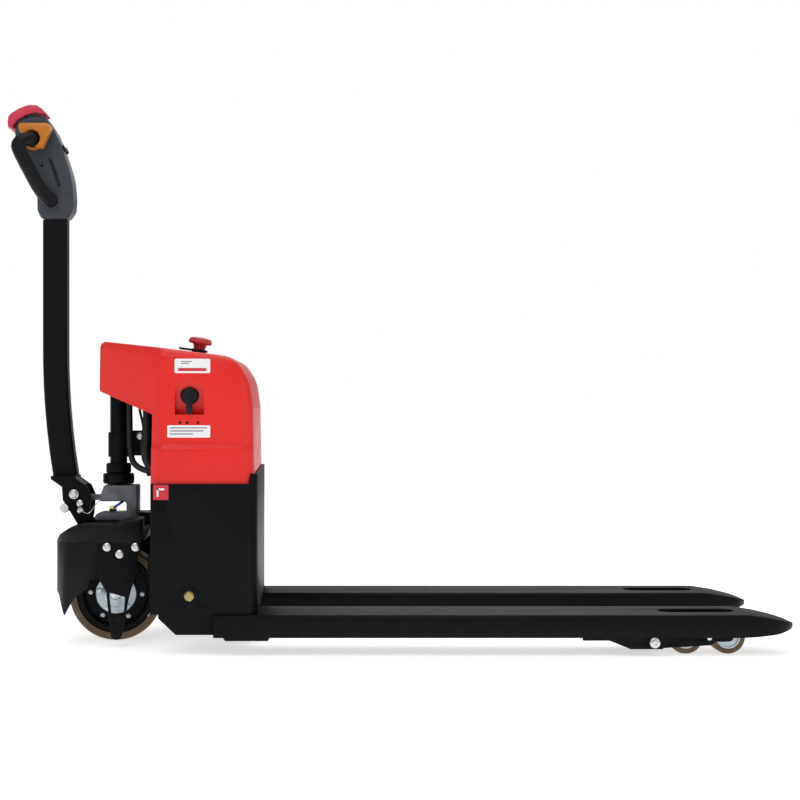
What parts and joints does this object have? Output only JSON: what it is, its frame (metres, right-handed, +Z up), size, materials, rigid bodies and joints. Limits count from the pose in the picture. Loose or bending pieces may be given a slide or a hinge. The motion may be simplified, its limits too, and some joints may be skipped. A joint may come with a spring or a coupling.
{
  "type": "pallet jack",
  "caption": "Powered walkie pallet truck: two forks on tandem load rollers, a red cover, a steered drive wheel under a lift cylinder, and a tilting tiller.",
  "frame": {"origin": "on the floor, at the centre of the outline seen from above", "axes": "+X along the forks towards their tips, +Y to the left when looking along the forks, +Z up"},
  "size_m": [1.715, 0.5604, 1.205],
  "materials": {
    "black_paint": "satin",
    "red_plastic": "semi-gloss",
    "head_plastic": "fine grain",
    "fender_plastic": "satin",
    "black_plastic": "satin",
    "grip_rubber": "matte",
    "orange_plastic": "satin",
    "cast_iron": "as cast",
    "zinc": "zinc plated",
    "chrome": "polished",
    "tread": "polyurethane",
    "alloy": "cast",
    "dark_enamel": "satin",
    "battery_case": "matte"
  },
  "bodies": {
    "column": {"cylinder_tube": "black_paint", "lower_collar": "black_paint", "upper_collar": "black_paint", "yoke": "black_paint", "pull_link_left": "black_paint", "pull_link_right": "black_paint"},
    "chassis": {"frame_box": "black_paint", "fork_left": "black_paint", "fork_right": "black_paint", "cover": "red_plastic", "battery": "battery_case", "hydraulic_tank": "battery_case", "controller": "alloy", "pump_motor": "dark_enamel", "piston_rod": "chrome", "crosshead": "black_paint", "key_lock": "black_plastic", "estop_base": "black_plastic", "arm_pin_left": "zinc", "arm_pin_right": "zinc"},
    "drive_unit": {"steering_head": "cast_iron", "tiller_pin": "zinc", "drive_frame": "black_paint", "fender_cap": "fender_plastic", "fender_skirt": "fender_plastic", "side_guard_left": "black_paint", "side_guard_right": "black_paint", "gearbox": "alloy", "traction_motor": "dark_enamel", "motor_brake": "dark_enamel", "wheel_axle": "zinc"},
    "drive_wheel": {"drive_tread": "tread", "drive_hub": "black_paint"},
    "tiller": {"tiller_tube": "black_paint", "tiller_bracket": "black_paint", "head_shell_left": "head_plastic", "head_shell_right": "head_plastic", "grip_left": "grip_rubber", "grip_right": "grip_rubber"},
    "throttle": {"throttle_left": "orange_plastic", "throttle_right": "orange_plastic"},
    "reverse_button": {"reverse_button": "red_plastic"},
    "lift_button": {"lift_button": "black_plastic"},
    "lower_button": {"lower_button": "black_plastic"},
    "horn_button": {"horn_button": "black_plastic"},
    "estop_button": {"estop_button": "red_plastic"},
    "key": {"key": "black_plastic"},
    "rocker": {"rocker": "zinc"},
    "push_rods": {"push_rod_left": "zinc", "push_rod_right": "zinc"},
    "arm_left": {"load_arm_left": "black_paint"},
    "bogie_pin_left": {"bogie_pin_left": "zinc"},
    "bogie_left": {"bogie_left": "black_paint"},
    "roller_rear_left": {"roller_rear_left": "tread"},
    "roller_front_left": {"roller_front_left": "tread"},
    "arm_right": {"load_arm_right": "black_paint"},
    "bogie_pin_right": {"bogie_pin_right": "zinc"},
    "bogie_right": {"bogie_right": "black_paint"},
    "roller_rear_right": {"roller_rear_right": "tread"},
    "roller_front_right": {"roller_front_right": "tread"}
  },
  "joints": [
    {"name": "lift", "type": "slide", "parent": "column", "child": "chassis", "axis": [0, 0, 1], "range_m": [0, 0.115]},
    {"name": "steer", "type": "hinge", "parent": "column", "child": "drive_unit", "pos_m": [-0.612, 0, 0.3], "axis": [0, 0, 1], "range_deg": [-60, 60]},
    {"name": "drive_wheel_spin", "type": "hinge", "parent": "drive_unit", "child": "drive_wheel", "pos_m": [-0.6145, 0, 0.105], "axis": [0, 1, 0], "continuous": true},
    {"name": "tiller_tilt", "type": "hinge", "parent": "drive_unit", "child": "tiller", "pos_m": [-0.693, 0, 0.309], "axis": [0, -1, 0], "range_deg": [0, 75], "stiffness_Nm_per_rad": 25, "springref_deg": -34.38},
    {"name": "throttle_turn", "type": "hinge", "parent": "tiller", "child": "throttle", "pos_m": [-0.797, 0, 1.1245], "axis": [0, 1, 0], "range_deg": [-22, 22], "stiffness_Nm_per_rad": 0.8},
    {"name": "reverse_press", "type": "slide", "parent": "tiller", "child": "reverse_button", "axis": [0.352, 0, -0.936], "range_m": [0, 0.004], "stiffness_N_per_m": 1500, "springref_m": -0.003},
    {"name": "lift_press", "type": "slide", "parent": "tiller", "child": "lift_button", "axis": [-0.9029, 0, -0.4299], "range_m": [0, 0.003], "stiffness_N_per_m": 600, "springref_m": -0.002},
    {"name": "lower_press", "type": "slide", "parent": "tiller", "child": "lower_button", "axis": [-0.9029, 0, -0.4299], "range_m": [0, 0.003], "stiffness_N_per_m": 600, "springref_m": -0.002},
    {"name": "horn_press", "type": "slide", "parent": "tiller", "child": "horn_button", "axis": [-0.9029, 0, -0.4299], "range_m": [0, 0.002], "stiffness_N_per_m": 600, "springref_m": -0.002},
    {"name": "estop_press", "type": "slide", "parent": "chassis", "child": "estop_button", "axis": [-0.1564, 0, -0.9877], "range_m": [0, 0.0045], "stiffness_N_per_m": 900, "springref_m": -0.003},
    {"name": "key_turn", "type": "hinge", "parent": "chassis", "child": "key", "pos_m": [-0.432, -0.265, 0.5517], "axis": [0, 1, 0], "range_deg": [0, 90]},
    {"name": "rocker_turn", "type": "hinge", "parent": "chassis", "child": "rocker", "pos_m": [-0.4325, 0, 0.127], "axis": [0, -1, 0], "range_deg": [0, 92.5]},
    {"name": "push_rod_slide", "type": "slide", "parent": "chassis", "child": "push_rods", "axis": [1, 0, 0], "range_m": [0, 0.0425]},
    {"name": "arm_left_turn", "type": "hinge", "parent": "chassis", "child": "arm_left", "pos_m": [0.55, 0.2, 0.03], "axis": [0, 1, 0], "range_deg": [0, 67.5]},
    {"name": "bogie_pin_left_turn", "type": "hinge", "parent": "arm_left", "child": "bogie_pin_left", "pos_m": [0.67, 0.2, 0.037], "axis": [0, 1, 0], "range_deg": [-67.5, 0]},
    {"name": "bogie_left_rock", "type": "hinge", "parent": "bogie_pin_left", "child": "bogie_left", "pos_m": [0.67, 0.2, 0.037], "axis": [0, 1, 0], "range_deg": [-6, 6]},
    {"name": "roller_rear_left_spin", "type": "hinge", "parent": "bogie_left", "child": "roller_rear_left", "pos_m": [0.625, 0.2, 0.037], "axis": [0, 1, 0], "continuous": true},
    {"name": "roller_front_left_spin", "type": "hinge", "parent": "bogie_left", "child": "roller_front_left", "pos_m": [0.715, 0.2, 0.037], "axis": [0, 1, 0], "continuous": true},
    {"name": "arm_right_turn", "type": "hinge", "parent": "chassis", "child": "arm_right", "pos_m": [0.55, -0.2, 0.03], "axis": [0, 1, 0], "range_deg": [0, 67.5]},
    {"name": "bogie_pin_right_turn", "type": "hinge", "parent": "arm_right", "child": "bogie_pin_right", "pos_m": [0.67, -0.2, 0.037], "axis": [0, 1, 0], "range_deg": [-67.5, 0]},
    {"name": "bogie_right_rock", "type": "hinge", "parent": "bogie_pin_right", "child": "bogie_right", "pos_m": [0.67, -0.2, 0.037], "axis": [0, 1, 0], "range_deg": [-6, 6]},
    {"name": "roller_rear_right_spin", "type": "hinge", "parent": "bogie_right", "child": "roller_rear_right", "pos_m": [0.625, -0.2, 0.037], "axis": [0, 1, 0], "continuous": true},
    {"name": "roller_front_right_spin", "type": "hinge", "parent": "bogie_right", "child": "roller_front_right", "pos_m": [0.715, -0.2, 0.037], "axis": [0, 1, 0], "continuous": true}
  ],
  "couplings": [
    {"joint": "rocker_turn", "follows": "lift", "rad_per_m": 13.963},
    {"joint": "push_rod_slide", "follows": "lift", "ratio": 0.36522},
    {"joint": "arm_left_turn", "follows": "lift", "rad_per_m": 10.213},
    {"joint": "bogie_pin_left_turn", "follows": "lift", "rad_per_m": -10.213},
    {"joint": "arm_right_turn", "follows": "lift", "rad_per_m": 10.213},
    {"joint": "bogie_pin_right_turn", "follows": "lift", "rad_per_m": -10.213}
  ]
}
